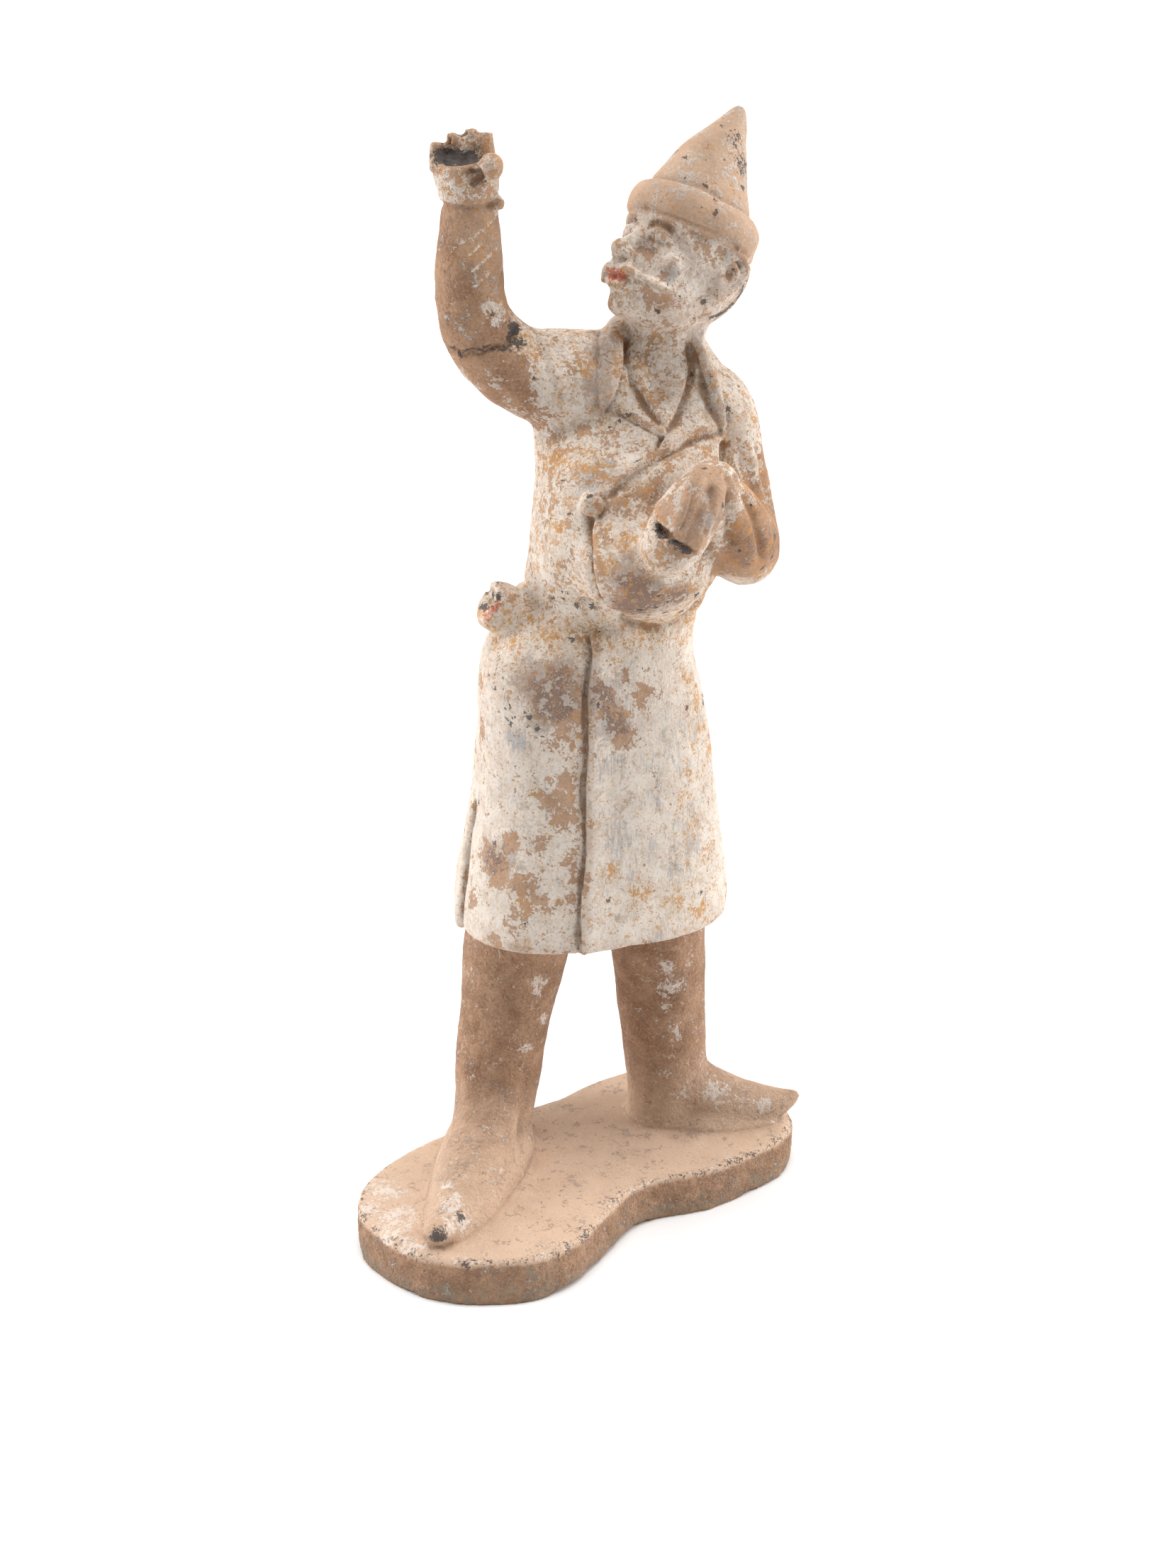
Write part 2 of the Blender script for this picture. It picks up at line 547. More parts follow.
surface.shave((-31, -12.6, 212), 11, (-0.15, -1, 0.15))
surface.shave((-31, -6, 220.2), 11, (0.1, -0.2, 1))
surface.shave((-40.2, -6, 213), 9, (-1, 0, 0.25))
surface.groove([(-39.6, -12, 217), (-39, -6, 217.6), (-37.5, 0.5, 217)], 1.1, 1.6)
surface.groove([(-39, -13.5, 217), (-33, -14, 217.6), (-27, -13, 217)], 0.9, 1.3)
print("Head, cap and purse finished")
surface.done()

# %% [markdown]
# ## Uneven by hand and by age
# Nothing on the real piece is quite straight: the mould left it slightly wavy, knife and thumb left
# flats on the slab, and wear has rounded and pitted it. Displace modifiers on cloud textures give
# that, at three sizes. The finest is kept to bare clay: the slab's sides, the raised arm and the
# boots.


# %% Unevenness
def cloud(name, size, depth):
    """A cloud texture whose lumps are about this many millimetres across."""
    made = bpy.data.textures.new(name, "CLOUDS")
    made.noise_scale = size * MM
    made.noise_depth = depth
    return made


def weigh(piece, name, amounts):
    """A vertex group with these weights, in twenty steps."""
    group = piece.vertex_groups.new(name=name)
    for step in range(1, 21):
        chosen = np.nonzero(np.round(amounts * 20) == step)[0]
        group.add(chosen.tolist(), step / 20, "REPLACE")
    return group.name


points = Surface(figure).points
slab_side = (points[:, 2] < -1.5) & (points[:, 2] > -16)
rough = np.where(slab_side, 1.0, 0.0)
rough = np.maximum(rough, np.clip((points[:, 2] - 296) / 10, 0, 1) * (points[:, 0] < -24) * 0.5)
rough = np.maximum(rough, np.clip((90 - points[:, 2]) / 10, 0, 1) * (points[:, 2] > 3) * 0.35)
work(figure, "DISPLACE", texture=cloud("wavy", 26, 1), strength=1.4 * MM, mid_level=0.5)
work(figure, "DISPLACE", texture=cloud("thumbed", 9, 1), strength=0.7 * MM, mid_level=0.5)
work(figure, "DISPLACE", texture=cloud("pitted", 2.4, 2), strength=0.9 * MM, mid_level=0.5,
     vertex_group=weigh(figure, "rough", rough))
print("Rough over", int((rough > 0.3).sum()), "points")

# %% Fewer triangles, and a flat underside
MOST_TRIANGLES = 196000
work(figure, "DECIMATE", ratio=MOST_TRIANGLES / (2 * len(figure.data.polygons)))
figure.vertex_groups.clear()
surface = Surface(figure)
surface.points[surface.points[:, 2] < 0.8 - SLAB_THICK, 2] = -SLAB_THICK
low, high = np.array(cad_box) / MM - AXIS
surface.points = np.clip(surface.points, low, high)
surface.done()
only(figure)
bpy.ops.object.shade_smooth()
print("Triangles:", sum(len(face.vertices) - 2 for face in figure.data.polygons))

# %% [markdown]
# ## Where paint is left and where it has gone
# The worn look isn't even, so the material needs to know which part of the figure it is on. Each
# cell below lays a measure or two over the surface, a number from 0 to 1 at every point, kept in
# the mesh as an attribute: how whole the slip is, where the ground under it is stained, where orange,
# blue and red are left, where chips are thick, and where the clay is broken. They only say how
# much. The ragged edges come from noise in the material.


# %% Measuring tools
x, y, z = surface.points.T


def fade(value, low, high):
    """0 below low, 1 above high, and an even slope between."""
    return np.clip((value - low) / (high - low), 0, 1)


def near(rows):
    """1 at each place and nearly 0 beyond its radius. A row is x, y, z and radius."""
    field = np.zeros(len(x))
    for *spot, radius in rows:
        off = np.linalg.norm(surface.points - spot, axis=1) / radius
        field = np.maximum(field, np.exp(-1.5 * off**3))
    return field


def along(line, wide, shift=(0, 0, 0)):
    """1 on a line, nearly 0 beyond this width."""
    field = np.zeros(len(x))
    which, off, _, _ = surface.from_line(np.array(line) + shift, 2 * wide)
    field[which] = np.exp(-1.5 * (off / wide) ** 2)
    return field


def lay(field, value, mask):
    """The field, drawn to a value where the mask is 1."""
    return field + (value - field) * mask


def keep(name, field):
    """Keeps a field in the mesh for the material to read."""
    made = figure.data.attributes.new(name, "FLOAT", "POINT")
    made.data.foreach_set("value", np.clip(field, 0, 1).astype(np.float32))
    print(f"{name}: over {100 * np.mean(field > 0.3):.0f}% of the surface")


edges = np.empty(2 * len(figure.data.edges), np.int32)
figure.data.edges.foreach_get("vertices", edges)
edges = edges.reshape(-1, 2)
neighbours = np.bincount(edges.ravel(), minlength=len(x))


def neighbour_mean(rows):
    """Each point's row becomes the mean of those of its neighbours."""
    total = np.zeros_like(rows)
    for column in range(rows.shape[1]):
        total[:, column] = np.bincount(edges[:, 0], rows[edges[:, 1], column], len(rows))
        total[:, column] += np.bincount(edges[:, 1], rows[edges[:, 0], column], len(rows))
    return total / neighbours[:, None]


eased = surface.points
for _ in range(4):
    eased = neighbour_mean(eased)
bend = np.einsum("ij,ij->i", eased - surface.points, surface.out)[:, None]
bend = neighbour_mean(neighbour_mean(bend))[:, 0]
print("Bends from", round(bend.min(), 2), "to", round(bend.max(), 2), "mm")

# %% Regions
coat = fade(z, 86.5, 88.5)
cap = fade((surface.points - CAP_CENTRE) @ HEAD_UP, -7, -5.4) * fade(z, 310, 316)
head = fade(-np.linalg.norm(surface.points - HEAD_CENTRE, axis=1), -27, -23) * (1 - cap)
sleeve_under = fade(-x - 0.5 * (z - 285), 12, 20) * fade(z, 264, 274)
forearm = fade(-x, 23, 26) * fade(z, 296, 299)
fist = forearm * fade(z, 342, 344)
bent_arm = fade(x + 0.25 * (250 - z), 45, 50) * fade(z, 222, 228) * (1 - head)
elbow_lobe = bent_arm * fade(-z, -256, -236)
hand = near([(37, -33, 257, 11), (32, -39, 250, 11), (31, -42, 244, 8), (38, -38, 250, 8)])
slab = 1 - fade(z, 0.2, 1.5)
slab_side = 1 - fade(z, -3.0, -1.6)
slab_rim = slab * fade(-bend, 0.08, 0.28) * fade(z, -4, -2.5)
boots = (1 - slab) * (1 - coat)
front_skirt = coat * (1 - fade(z, 208, 214)) * fade(-y, -12, 2)
right_panel = front_skirt * fade(x, 1, 4)
left_panel = front_skirt * (1 - fade(x, -3, 0))

# %% Slip
LOSSES = [
    (-13, -23, 185, 8), (-7, -22, 179, 6), (-9, -21, 193, 6), (-6, -21, 171, 4), (5, -19, 186, 6),
    (8, -18, 177, 7), (12, -15, 190, 3), (18, -13, 184, 5), (12, -17, 169, 6), (7, -19, 196, 3),
    (-8, -22, 156, 5), (-13, -22, 148, 6), (-9, -21, 141, 4), (-17, -23, 133, 5), (-31, -19, 121, 7),
    (-22, -24, 118, 6), (-26, -20, 132, 5), (-34, -16, 125, 7), (-16, -24, 113, 5), (-21, -24, 108, 5),
    (-32, -23, 97, 3), (-27, -25, 103, 3), (-14, -25, 101, 4), (-39, -11, 108, 4), (-6, -22, 150, 3),
    (-6, -24, 128, 3), (-37, -6, 185, 5), (-38, -6, 168, 6), (-39, -8, 155, 4), (14, -30, 217, 8),
    (15, -35, 226, 6), (22, -33, 221, 6), (30, -29, 222, 5), (-10, -18, 224, 4), (34, -24, 228, 4),
    (-6, -16, 275, 6), (-14, -10, 270, 8), (-15, -10, 262, 6), (2, -20, 262, 4), (12, -22, 247, 4),
    (20, -24, 256, 4),
]
WHOLE = [
    (-7, -10, 282, 8), (-12, -11, 290, 5), (-9, -5, 272, 6), (-29, -14, 309, 5), (52, -14, 286, 6),
    (37, -8, 316, 6), (33, -11, 307, 6), (24, -4, 287, 8), (27, -5, 296, 5), (13, -20, 262, 5),
    (-2, -24, 244, 6), (9, -32, 238, 6), (52, 4, 272, 9), (54, 0, 262, 8), (50, 6, 280, 8),
    (-12, -16, 236, 8), (-14, -14, 228, 7),
]
slip = np.full(len(x), 0.04)
slip = lay(slip, 0.80, coat)
slip = lay(slip, 0.95, right_panel)
slip = lay(slip, 0.90, left_panel)
slip = lay(slip, 0.72, coat * fade(z, 212, 222))
slip = lay(slip, 0.26, sleeve_under)
slip = lay(slip, 0.12, forearm)
slip = lay(slip, 0.55, fist)
slip = lay(slip, 0.34, bent_arm)
slip = lay(slip, 0.06, elbow_lobe)
slip = lay(slip, 0.13, hand)
slip = lay(slip, 0.34, cap)
slip = lay(slip, 0.66, head)
slip = lay(slip, 0.14, 0.9 * near(LOSSES))
slip = lay(slip, 0.38, 0.6 * along(OVERLAP, 3.0, (-3.2, 0, 0)))
slip = lay(slip, 0.92, 0.85 * near(WHOLE))
slip = lay(slip, 0.30, fade(bend, 0.12, 0.4) * 0.7)
slip = slip - 0.2 * fade(-bend, 0.14, 0.4)
keep("slip", slip)

# %% Chalky dust on bare clay
DUSTY = [
    (29, 13, 69, 5), (30, 14, 60, 6), (29, 14, 53, 4), (33, 16, 42, 5), (28, 16, 24, 5),
    (36, 16, 14, 6), (-18, -2, 70, 5), (-15, 2, 55, 4), (-22, -3, 45, 4), (-44, -5, 17, 3),
    (-47, -51, 9, 7), (-43, -56, 7, 5), (-48, -62, 8, 5), (-50, -40, 14, 5), (-72, -25, 0, 9),
    (-67, -44, 0, 10), (-70, -56, -1, 8), (-61, -62, 0, 7), (-78, -38, 0, 6), (48, 22, 14, 7),
    (58, 20, 12, 5), (66, 22, 9, 5), (-27, -11, 309, 4), (-29, -10, 340, 3),
]
dust = 0.07 * boots + 0.02 * slab
dust = np.maximum(dust, 0.62 * near(DUSTY))
dust = np.maximum(dust, 0.55 * slab_rim)
for mark in MARKS:
    dust = np.maximum(dust, 0.6 * along(mark, 0.8, (0.3, 0, 0.7)))
dust = dust * (1 - slab_side)
keep("dust", dust)

# %% Stained ground, and thin pinkish slip
STAINED = [
    (-10, -22, 186, 12), (-14, -23, 178, 8), (4, -19, 184, 9), (-18, -22, 192, 9), (15, -30, 217, 11),
    (18, -34, 224, 9), (28, -30, 221, 8), (12, -33, 230, 7), (-30, -18, 126, 8), (9, -18, 174, 8),
    (5, -9, 279, 5), (3, -8, 286, 6), (5, -5, 294, 6), (42, -2, 276, 5), (39, 0, 286, 5),
    (36, -1, 293, 4),
]
stained = 0.12 + 0.06 * slab_side + 0.72 * near(STAINED)
keep("stained", stained + 0.2 * hand + 0.15 * elbow_lobe + 0.06 * forearm)
THIN = [(15, -35, 235, 6), (20, -34, 230, 6), (-20, -22, 190, 9), (-14, -22, 196, 6), (46, -2, 270, 6)]
THIN_COLLAR = [(3, -2, 294, 6), (2.5, -7, 286, 6), (3, -8, 279, 5), (24, -5, 280, 5), (40, -13, 316, 4)]
thin = 0.15 + 0.25 * head + 0.45 * cap + 0.2 * coat * fade(z, 210, 224) + 0.75 * near(THIN)
thin = np.maximum(thin, 0.75 * near(THIN_COLLAR))
keep("thin", thin)

# %% Orange
ORANGE = [
    (35, 2, 183, 6), (38, 5, 175, 6), (39, 4, 164, 6), (42, 9, 155, 6), (33, -7, 143, 5),
    (36, -5, 134, 5), (30, -15, 109, 7), (40, -8, 103, 6), (18, -19, 112, 6), (8, -22, 122, 5),
    (-2, -14, 259, 8), (-8, -10, 262, 7), (-14, -6, 262, 8), (0, -14, 266, 6), (-21, -8, 301, 6),
    (-17, -10, 296, 4), (30, -31, 238, 6), (24, -30, 240, 6), (38, -29, 239, 5), (6, -33, 232, 6),
    (12, -32, 240, 6), (-12, -18, 240, 7), (20, -30, 246, 7), (52, -10, 262, 9), (55, -8, 250, 9),
    (50, -20, 258, 7), (-8, -22, 101, 3), (-22, -25, 97, 5),
]
orange = 0.15 * coat + 0.16 * coat * fade(z, 194, 204) - 0.3 * sleeve_under - 0.3 * hand
orange = np.maximum(orange, 0.48 * coat * fade(z, 194, 200) * (1 - fade(z, 210, 222)))
orange = np.maximum(orange, 0.32 * right_panel * fade(x, 24, 34))
orange = np.maximum(orange, 0.22 * right_panel * (1 - fade(z, 112, 128)))
orange = np.maximum(orange, 0.66 * near(ORANGE))
orange = orange * (1 - 0.7 * head) * (1 - 0.6 * cap)
keep("orange", orange)

# %% Dark chips, blue and red
CREASE = [(-8, -17, 213), (3, -23, 214), (8, -27, 214), (16, -28, 211), (24, -22, 209), (32, -12, 209),
          (38, -4, 214)]
chips = 0.03 * coat + 0.03 * head + 0.06 * cap + 0.06 * fist
CHIPPED = [
    (-31, -18, 190, 7), (-33, -14, 200, 5), (-26, -21, 178, 5), (-20, -23, 179, 5), (-15, -22, 172, 4),
    (8, -29, 221, 5), (24, -33, 224, 5), (33, -30, 229, 5), (-6, -21, 136, 3), (0, -19, 186, 3),
    (14, -24, 256, 4), (17, -20, 263, 4), (-5, -9, 285, 4), (3, -7, 290, 4), (46, -1, 268, 4),
    (-34, -14, 308, 4), (12, -6, 274, 4), (40, -12, 104, 5), (38, -9, 341, 4), (45, 8, 358, 5),
    (-30, -5, 220, 4), (-10, -15, 220, 4), (28, -30, 217, 5), (34, -22, 222, 6),
]
chips = np.maximum(chips, 0.8 * along(CREASE, 6))
chips = np.maximum(chips, 0.75 * near(CHIPPED))
keep("chips", chips)
blue = 0.25 * right_panel * fade(z, 104, 120) * (1 - fade(z, 176, 190)) + 0.08 * left_panel
BLUISH = [
    (0, -18, 256, 8), (8, -19, 261, 7), (-24, -20, 170, 6), (-22, -24, 95, 6), (24, -17, 96, 8),
    (40, -9, 318, 5), (26, -12, 322, 4), (36, -6, 126, 8), (-8, -22, 186, 5),
]
blue = np.maximum(blue, 0.5 * near(BLUISH))
keep("blue", blue)
LIPS = [(-3, 24, -14), (0, 24, -14.2), (3, 24, -14), (5, 21.5, -14.6)]
red = near([(*on_head(*spot), 2.4) for spot in LIPS])
red = np.maximum(red, 0.8 * along([(-39.5, -11, 211), (-36, -12.6, 212.4), (-31.5, -13, 213.6)], 2.4))
keep("red", red)

# %% Broken and scorched places
PURSE_SLOT = [(-38, -12, 216.5), (-39.5, -6, 217.4), (-36, -11, 216.6), (-31, -12, 217)]
PALM = [(spot, -10, 356.6, 4.2) for spot in (-44.6, -42, -39.4, -36.8)]
ELBOW_AND_TOE = [(-22.6, -11, 301, 4.2), (-24, -8, 303, 3.4),
                 (-50.5, -67.5, 7, 4), (-43.5, -55.5, 8, 2.6)]
broken = near(ELBOW_AND_TOE)
broken = np.maximum(broken, 1.2 * near(PALM) * (1 - fade(z, 358, 359.6)))
broken = np.maximum(broken, along([(49, 8, 317), (49.5, 8, 311), (46, 5, 305), (43, 1, 301.6)], 1.9))
broken = np.maximum(broken, along([(22, -38, 247), (25.5, -45, 244.5), (31.5, -46, 241)], 1.5))
broken = np.maximum(broken, along(PURSE_SLOT, 1.6))
broken = np.maximum(broken, 0.9 * along(CRACK, 0.75))
broken = np.maximum(broken, 0.5 * slab_rim)
broken = np.maximum(broken, 0.6 * near([(47, 13, 360, 4), (48, 12, 352, 5), (44, 16, 372, 3)]))
for tip in ((-46, -8.6, 360), (-41.4, -6, 363), (-36, -4.6, 364), (-31.4, -5, 363)):
    broken = np.maximum(broken, 0.4 * near([(*tip, 1.6)]))
keep("broken", broken)
hollow = np.maximum(0.85 * fade(bend, 0.05, 0.32) * (1 - 0.35 * head), 0.9 * along(OVERLAP, 1.0))
hollow = np.maximum(hollow, 0.9 * near([(-35.3, -16, 352, 2), (-35.3, -15.6, 349, 2)]))
for side in BOTH:
    for line, wide in ((EYE, 0.8), (BROW_LINE, 1.1), (BEARD_LINE, 1.0)):
        hollow = np.maximum(hollow, 0.8 * along([on_head(r * side, l, u) for r, l, u in line], wide))
keep("hollow", hollow)
keep("worn", fade(-bend, 0.08, 0.35))
keep("rough", np.maximum.reduce([
    0.25 + 0 * x, 0.9 * slab_side, 0.65 * boots, 0.6 * forearm, 0.5 * elbow_lobe,
]))
greyed = 0.3 * near([(-20, -69, -9, 12), (64, 3, -9, 10), (-76, -52, -8, 8)])
keep("greyed", np.maximum(slab_side * fade(-z, 5, 13) * 0.5, greyed))
pale_coat = 0.3 * coat * (1 - sleeve_under) * (1 - bent_arm)
pale_feet = 0.8 * boots * (1 - fade(z, 6, 34))
keep("pale", np.maximum.reduce([slab * (1 - slab_side), pale_feet, 0.62 * cap, pale_coat]))

# %% [markdown]
# ## Materials out of small effects
# Each kind of wear is a shader node group with its own dials: ragged patches, chips, fine root
# marks, brushed smears and the grain of the clay. The material asks them all for masks and lays
# one colour over another, from the bare clay up, as the real thing was painted. Everything is
# driven by the object's own coordinates, turned into millimetres, so every size below is real.


# %% Wiring
class Wiring:
    """Adds nodes to one tree. A socket takes a value or the output that feeds it."""

    def __init__(self, tree):
        self.tree = tree

    def node(self, kind, sockets, **settings):
        made = self.tree.nodes.new(kind)
        for setting, value in settings.items():
            setattr(made, setting, value)
        for socket, value in sockets.items():
            if isinstance(value, bpy.types.NodeSocket):
                self.tree.links.new(value, made.inputs[socket])
            else:
                made.inputs[socket].default_value = value
        return made

    def calc(self, what, *values):
        return self.node("ShaderNodeMath", dict(enumerate(values)), operation=what).outputs[0]

    def step(self, value, low, high, start=0.0, end=1.0):
        """A soft step: start below low, end above high."""
        sockets = {"Value": value, "From Min": low, "From Max": high, "To Min": start, "To Max": end}
        return self.node("ShaderNodeMapRange", sockets, interpolation_type="SMOOTHSTEP").outputs[0]

    def noise(self, where, per_mm, detail=6.0, rough=0.6, swirl=0.0):
        sockets = {"Vector": where, "Scale": per_mm, "Detail": detail}
        sockets |= {"Roughness": rough, "Distortion": swirl}
        return self.node("ShaderNodeTexNoise", sockets).outputs[0]

    def cells(self, where, per_mm):
        return self.node("ShaderNodeTexVoronoi", {"Vector": where, "Scale": per_mm}).outputs

    def stretch(self, where, by):
        return self.node("ShaderNodeVectorMath", {0: where, 1: by}, operation="MULTIPLY").outputs[0]

    def blend(self, mask, under, over):
        return self.node("ShaderNodeMix", {0: mask, 6: under, 7: over}, data_type="RGBA").outputs[2]

    def measure(self, name):
        return self.node("ShaderNodeAttribute", {}, attribute_name=name).outputs["Fac"]


def effect(name, dials, results):
    """A new node group with these inputs and outputs: its wiring, its inputs and its end."""
    tree = bpy.data.node_groups.new(name, "ShaderNodeTree")
    tree.interface.new_socket(name="Place", in_out="INPUT", socket_type="NodeSocketVector")
    for dial, value in dials.items():
        socket = tree.interface.new_socket(name=dial, in_out="INPUT", socket_type="NodeSocketFloat")
        socket.default_value = value
    for result in results:
        tree.interface.new_socket(name=result, in_out="OUTPUT", socket_type="NodeSocketFloat")
    return Wiring(tree), tree.nodes.new("NodeGroupInput").outputs, tree.nodes.new("NodeGroupOutput")


# %% Ragged patches
w, dials, end = effect("ragged_patches", {"Cover": 0.5, "Size": 8.0, "Softness": 0.03}, ["Mask"])
per_mm = w.calc("DIVIDE", 1.0, dials["Size"])
coarse = w.noise(dials["Place"], per_mm, 2.0, 0.6, 0.5)
middling = w.noise(dials["Place"], w.calc("MULTIPLY", per_mm, 3.3), 2.0, 0.65, 0.4)
fine = w.noise(dials["Place"], w.calc("MULTIPLY", per_mm, 10.0), 2.0, 0.7)
level = w.calc("MULTIPLY_ADD", coarse, 0.34, w.calc("MULTIPLY", middling, 0.38))
level = w.calc("MULTIPLY_ADD", fine, 0.28, level)
over = w.calc("SUBTRACT", dials["Cover"], w.step(level, 0.35, 0.65))
mask = w.step(over, w.calc("MULTIPLY", dials["Softness"], -1.0), dials["Softness"])
w.tree.links.new(mask, end.inputs["Mask"])
print("ragged_patches:", len(w.tree.nodes), "nodes")

# %% Chips
w, dials, end = effect("chips", {"Density": 0.2, "Size": 3.0, "Share": 0.3}, ["Mask"])
per_mm = w.calc("DIVIDE", 1.0, dials["Size"])
jitter = w.node("ShaderNodeTexNoise", {"Vector": dials["Place"], "Scale": 0.7, "Detail": 3.0})
bending = {0: jitter.outputs[1], 1: (3.4, 3.4, 3.4), 2: dials["Place"]}
bent = w.node("ShaderNodeVectorMath", bending, operation="MULTIPLY_ADD").outputs[0]
spots = w.node("ShaderNodeTexVoronoi", {"Vector": bent, "Scale": per_mm}, distance="MANHATTAN").outputs
chance = w.node("ShaderNodeSeparateColor", {"Color": spots["Color"]}).outputs
size = w.calc("MULTIPLY", dials["Share"], w.step(chance[1], 0.0, 1.0, 0.3, 1.2))
inside = w.step(w.calc("SUBTRACT", size, spots["Distance"]), -0.02, 0.04)
picked = w.calc("LESS_THAN", chance[0], dials["Density"])
w.tree.links.new(w.calc("MULTIPLY", inside, picked), end.inputs["Mask"])
print("chips:", len(w.tree.nodes), "nodes")

# %% Root marks
w, dials, end = effect("root_marks", {"Density": 0.5, "Size": 3.0}, ["Mask"])
per_mm = w.calc("DIVIDE", 1.0, dials["Size"])
wander = w.noise(dials["Place"], per_mm, 2.0, 0.6, 1.2)
thread = w.step(w.calc("ABSOLUTE", w.calc("SUBTRACT", wander, 0.5)), 0.004, 0.014, 1.0, 0.0)
breaks = w.step(w.noise(dials["Place"], 0.9, 2.0, 0.5), 0.5, 0.56)
clumps = w.noise(dials["Place"], 0.12, 2.0, 0.5)
amount = w.step(w.calc("SUBTRACT", dials["Density"], clumps), -0.1, 0.1)
w.tree.links.new(w.calc("MULTIPLY", w.calc("MULTIPLY", thread, breaks), amount), end.inputs["Mask"])
print("root_marks:", len(w.tree.nodes), "nodes")

# %% Brushed smears
w, dials, end = effect("brushed_smears", {"Density": 0.5}, ["Mask", "Streaks"])
streak = w.noise(w.stretch(dials["Place"], (1.0, 1.0, 0.07)), 1.3, 3.0, 0.65)
clump = w.noise(w.stretch(dials["Place"], (1.0, 1.0, 0.4)), 0.16, 2.0, 0.6, 0.6)
both = w.calc("MULTIPLY_ADD", streak, 0.55, w.calc("MULTIPLY", clump, 0.45))
short = w.calc("SUBTRACT", w.calc("MULTIPLY_ADD", dials["Density"], 0.4, both), 0.62)
w.tree.links.new(w.step(short, -0.02, 0.10), end.inputs["Mask"])
w.tree.links.new(w.step(streak, 0.3, 0.7), end.inputs["Streaks"])
print("brushed_smears:", len(w.tree.nodes), "nodes")

# %% Grain of the clay
w, dials, end = effect("clay_grain", {"Roughness": 0.5}, ["Tone", "Pits", "Height"])
broad = w.noise(dials["Place"], 0.12, 3.0, 0.6, 0.4)
fine = w.noise(dials["Place"], 1.1, 4.0, 0.75)
tone = w.calc("MULTIPLY_ADD", fine, 0.55, w.calc("MULTIPLY", broad, 0.45))
w.tree.links.new(w.step(tone, 0.34, 0.66), end.inputs["Tone"])
pits = w.cells(dials["Place"], 0.6)
ragged = w.calc("SUBTRACT", pits["Distance"], w.calc("MULTIPLY", fine, 0.3))
deep = w.step(ragged, -0.06, 0.03, 1.0, 0.0)
chance = w.node("ShaderNodeSeparateColor", {"Color": pits["Color"]}).outputs[2]
rare = w.calc("LESS_THAN", chance, w.calc("MULTIPLY", dials["Roughness"], 0.3))
pit = w.calc("MULTIPLY", deep, rare)
w.tree.links.new(pit, end.inputs["Pits"])
lumps = w.noise(dials["Place"], 0.6, 3.0, 0.7)
lumps = w.calc("MULTIPLY", lumps, w.calc("MULTIPLY", dials["Roughness"], 1.5))
height = w.calc("MULTIPLY_ADD", fine, 0.2, lumps)
w.tree.links.new(w.calc("MULTIPLY_ADD", pit, -0.3, height), end.inputs["Height"])
print("clay_grain:", len(w.tree.nodes), "nodes")

# %% [markdown]
# ### The material
# One material covers the whole piece, because the paint runs over every fold without a seam. It
# reads the measures, mixes the colours from the clay outwards, and gives the layers a slight
# thickness with a bump, so that a flake's edge catches the light.

# %% Colours
CLAY_DARK = (0.24, 0.13, 0.075, 1)
CLAY_PALE = (0.46, 0.285, 0.182, 1)
WARM_PALE = (0.68, 0.50, 0.37, 1)
MAUVE = (0.205, 0.14, 0.112, 1)
EARTH = (0.19, 0.11, 0.062, 1)
SLIP_WARM = (0.69, 0.60, 0.505, 1)
SLIP_COOL = (0.73, 0.66, 0.595, 1)
PINKISH = (0.50, 0.395, 0.325, 1)
OCHRE_TINT = (0.62, 0.43, 0.22, 1)
ORANGE_EARTH = (0.54, 0.25, 0.05, 1)
BLUE_GREY = (0.30, 0.33, 0.36, 1)
SOOT = (0.075, 0.07, 0.07, 1)
GREEN_GREY = (0.24, 0.215, 0.165, 1)
LIP_RED = (0.50, 0.10, 0.05, 1)
slip_part, clay_part = (round(sum(colour[:3]) / 3, 2) for colour in (SLIP_COOL, CLAY_PALE))
print("Slip reflects", slip_part, "of the light, the clay", clay_part)

# %% Painted clay
painted = bpy.data.materials.new("painted_clay")
painted.use_nodes = True
w = Wiring(painted.node_tree)
shader = w.tree.nodes["Principled BSDF"]
metres = w.node("ShaderNodeTexCoord", {}).outputs["Object"]
here = w.node("ShaderNodeVectorMath", {0: metres, 3: 1 / MM}, operation="SCALE").outputs[0]


def use(name, **dials):
    """The outputs of one of the effects at the present place."""
    sockets = {"Place": here, **{dial.capitalize(): value for dial, value in dials.items()}}
    group = w.tree.nodes.new("ShaderNodeGroup")
    group.node_tree = bpy.data.node_groups[name]
    for socket, value in sockets.items():
        if isinstance(value, bpy.types.NodeSocket):
            w.tree.links.new(value, group.inputs[socket])
        else:
            group.inputs[socket].default_value = value
    return group.outputs


grain = use("clay_grain", roughness=w.measure("rough"))
clay = w.blend(grain["Tone"], CLAY_DARK, CLAY_PALE)
clay = w.blend(w.calc("MULTIPLY", w.measure("pale"), 0.75), clay, WARM_PALE)
amount = w.measure("orange")
rust = use("ragged_patches", cover=amount, size=6.0, softness=0.1)["Mask"]
ground = w.blend(w.calc("MULTIPLY", rust, 0.6), clay, ORANGE_EARTH)
stains = use("ragged_patches", cover=w.measure("stained"), size=9.0, softness=0.16)["Mask"]
ground = w.blend(w.calc("MULTIPLY", stains, 0.85), ground, MAUVE)
grey = use("ragged_patches", cover=w.measure("greyed"), size=5.0, softness=0.15)["Mask"]
ground = w.blend(w.calc("MULTIPLY", grey, 0.6), ground, GREEN_GREY)
ground = w.blend(w.calc("MULTIPLY", grain["Pits"], 0.7), ground, EARTH)
chalk = use("ragged_patches", cover=w.measure("dust"), size=4.0, softness=0.14)["Mask"]
ground = w.blend(w.calc("MULTIPLY", chalk, 0.75), ground, SLIP_COOL)

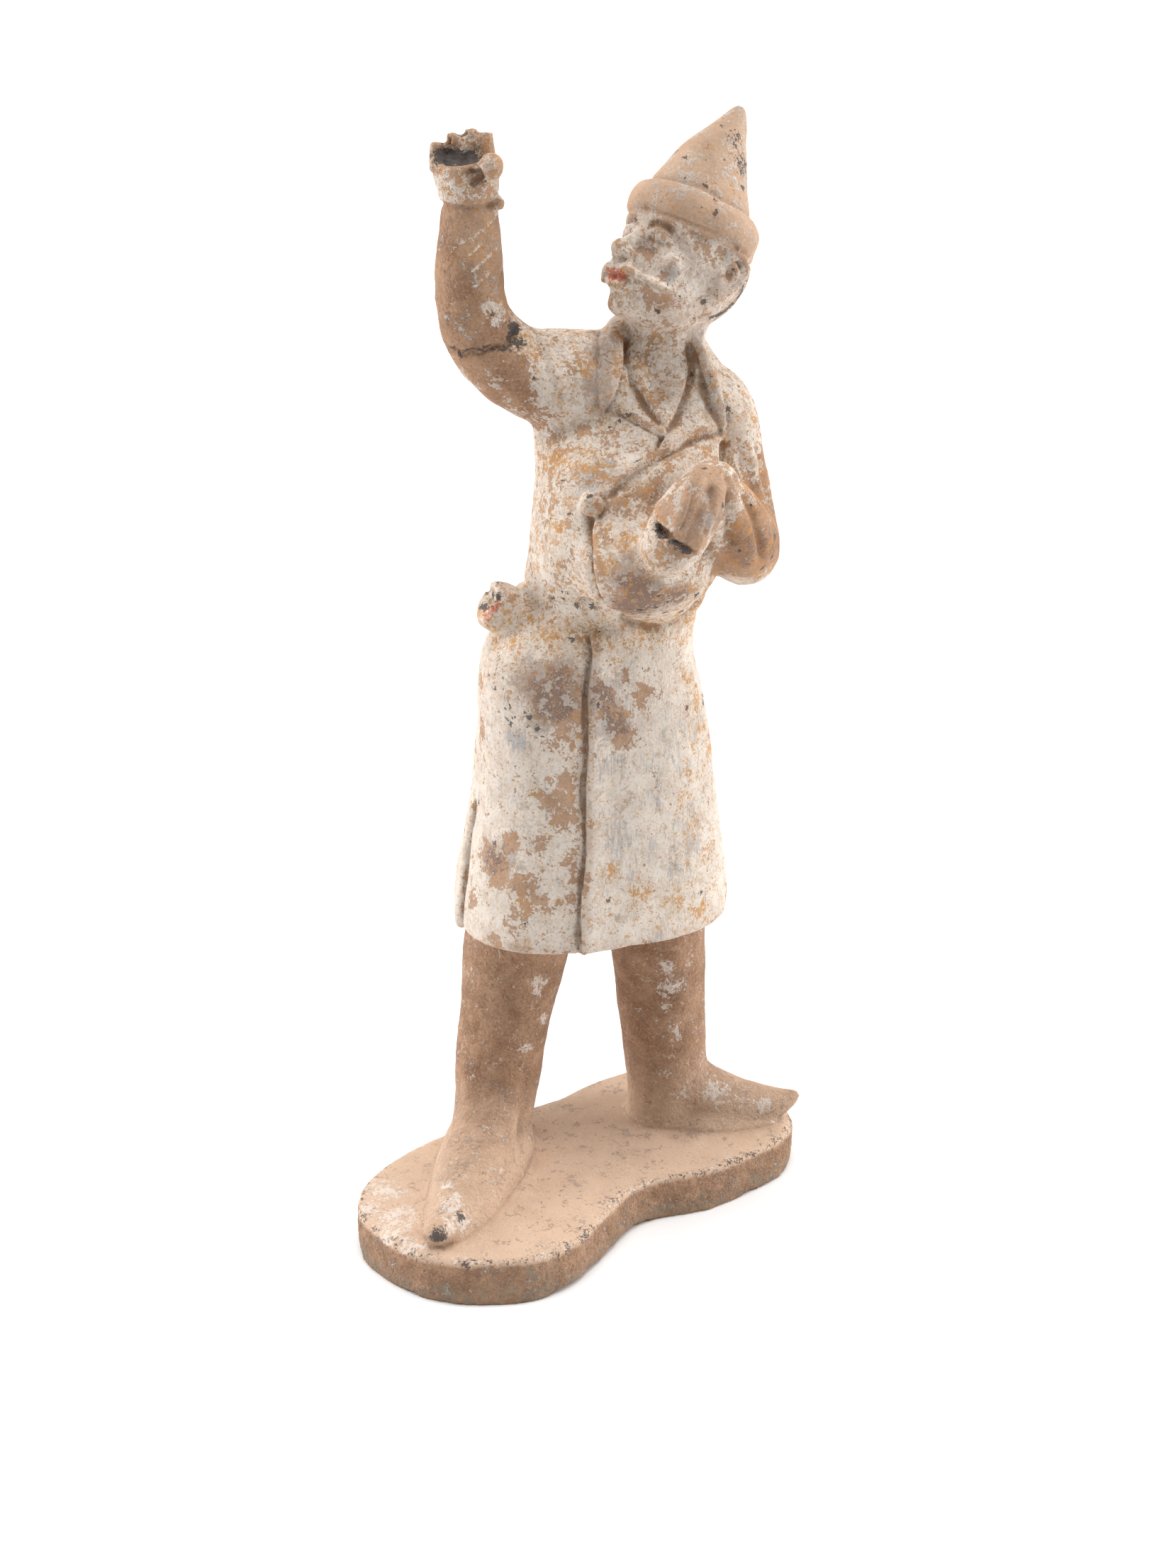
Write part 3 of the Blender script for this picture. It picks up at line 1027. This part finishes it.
# %% Slip over the clay
smears = use("brushed_smears", density=w.measure("blue"))
layer = use("ragged_patches", cover=w.measure("slip"), size=9.0, softness=0.05)["Mask"]
white = w.blend(smears["Streaks"], SLIP_WARM, SLIP_COOL)
white = w.blend(w.calc("MULTIPLY", rust, 0.22), white, OCHRE_TINT)
pink = use("ragged_patches", cover=w.measure("thin"), size=6.0, softness=0.25)["Mask"]
white = w.blend(w.calc("MULTIPLY", pink, 0.6), white, PINKISH)
white = w.blend(w.calc("MULTIPLY", stains, 0.38), white, MAUVE)
white = w.blend(w.calc("MULTIPLY", smears["Mask"], 0.6), white, BLUE_GREY)
flecks = use("ragged_patches", cover=w.calc("MULTIPLY", amount, 0.75), size=3.5, softness=0.08)["Mask"]
white = w.blend(w.calc("MULTIPLY", flecks, 0.8), white, ORANGE_EARTH)
roots = use("root_marks", density=w.calc("ADD", amount, 0.2), size=3.0)["Mask"]
white = w.blend(w.calc("MULTIPLY", roots, 0.6), white, EARTH)
cover = w.calc("MULTIPLY", layer, w.step(grain["Tone"], 0.0, 0.8, 0.72, 1.0))
colour = w.blend(cover, ground, white)

# %% Dirt, chips and breaks
colour = w.blend(w.calc("MULTIPLY", w.measure("hollow"), 0.6), colour, EARTH)
colour = w.blend(w.calc("MULTIPLY", w.measure("worn"), 0.25), colour, CLAY_PALE)
chip = use("chips", density=w.measure("chips"), size=3.0, share=0.46)["Mask"]
colour = w.blend(w.calc("MULTIPLY", chip, 0.85), colour, SOOT)
wound = use("ragged_patches", cover=w.measure("broken"), size=3.0, softness=0.05)["Mask"]
colour = w.blend(w.calc("MULTIPLY", wound, 0.9), colour, SOOT)
lips = use("ragged_patches", cover=w.measure("red"), size=3.0, softness=0.1)["Mask"]
colour = w.blend(w.calc("MULTIPLY", lips, 0.75), colour, LIP_RED)
w.tree.links.new(colour, shader.inputs["Base Color"])
height = w.calc("MULTIPLY_ADD", cover, 0.14, grain["Height"])
height = w.calc("MULTIPLY_ADD", chip, -0.3, height)
height = w.calc("MULTIPLY_ADD", wound, -0.15, height)
bump = w.node("ShaderNodeBump", {"Distance": MM, "Height": height})
w.tree.links.new(bump.outputs[0], shader.inputs["Normal"])
shader.inputs["Roughness"].default_value = 0.92
shader.inputs["Specular IOR Level"].default_value = 0.25
figure.data.materials.clear()
figure.data.materials.append(painted)
print("Material:", len(w.tree.nodes), "nodes")

# %% [markdown]
# ## Into the frame
# The finished piece moves with the one body of the model, takes the place of its solid, and keeps
# the material slot that the part declares.

# %% Finish
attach(figure, "root")
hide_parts("groom_figure")
